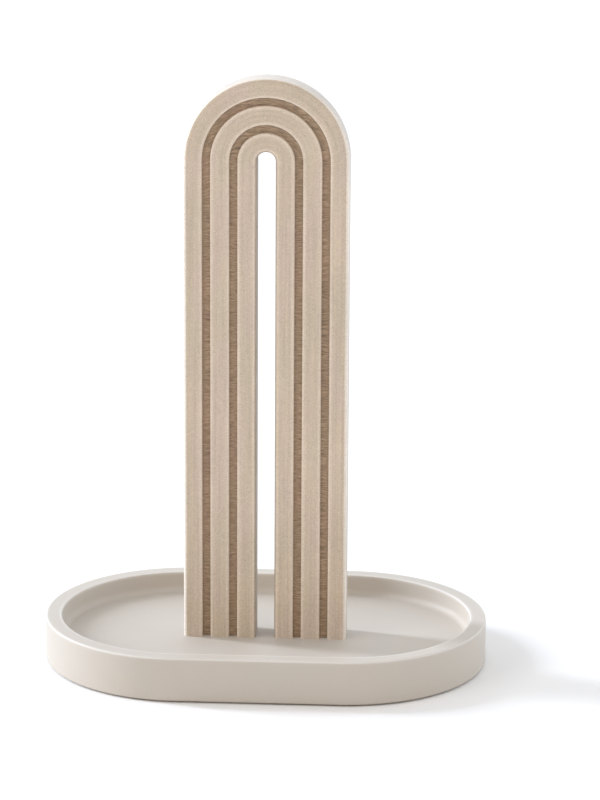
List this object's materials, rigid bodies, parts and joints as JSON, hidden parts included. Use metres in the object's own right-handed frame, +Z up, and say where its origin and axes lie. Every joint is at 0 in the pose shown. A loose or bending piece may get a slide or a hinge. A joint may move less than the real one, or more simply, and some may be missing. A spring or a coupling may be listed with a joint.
{
  "type": "hair tie holder",
  "caption": "Free-standing hair tie holder: a tall grooved arch post with an open slot, screwed upright into a low oval catch tray with a flat rim.",
  "frame": {"origin": "middle of the tray's footprint, on the surface that the four foot pads stand on", "axes": "+X along the tray's long side, to the right seen from the front; +Y from front to back; +Z up along the arch"},
  "size_m": [0.166, 0.106, 0.222],
  "materials": {
    "sand_composite": "matte, fine sandy grain",
    "pale_composite": "matte, smooth",
    "insert_brass": "knurled",
    "screw_steel": "zinc plated",
    "washer_steel": "zinc plated",
    "pad_rubber": "matte"
  },
  "bodies": {
    "root": {"arch_post": "sand_composite", "catch_tray": "pale_composite", "threaded_inserts": "insert_brass", "clamp_screws": "screw_steel", "screw_washers": "washer_steel", "foot_pads": "pad_rubber"}
  },
  "joints": []
}
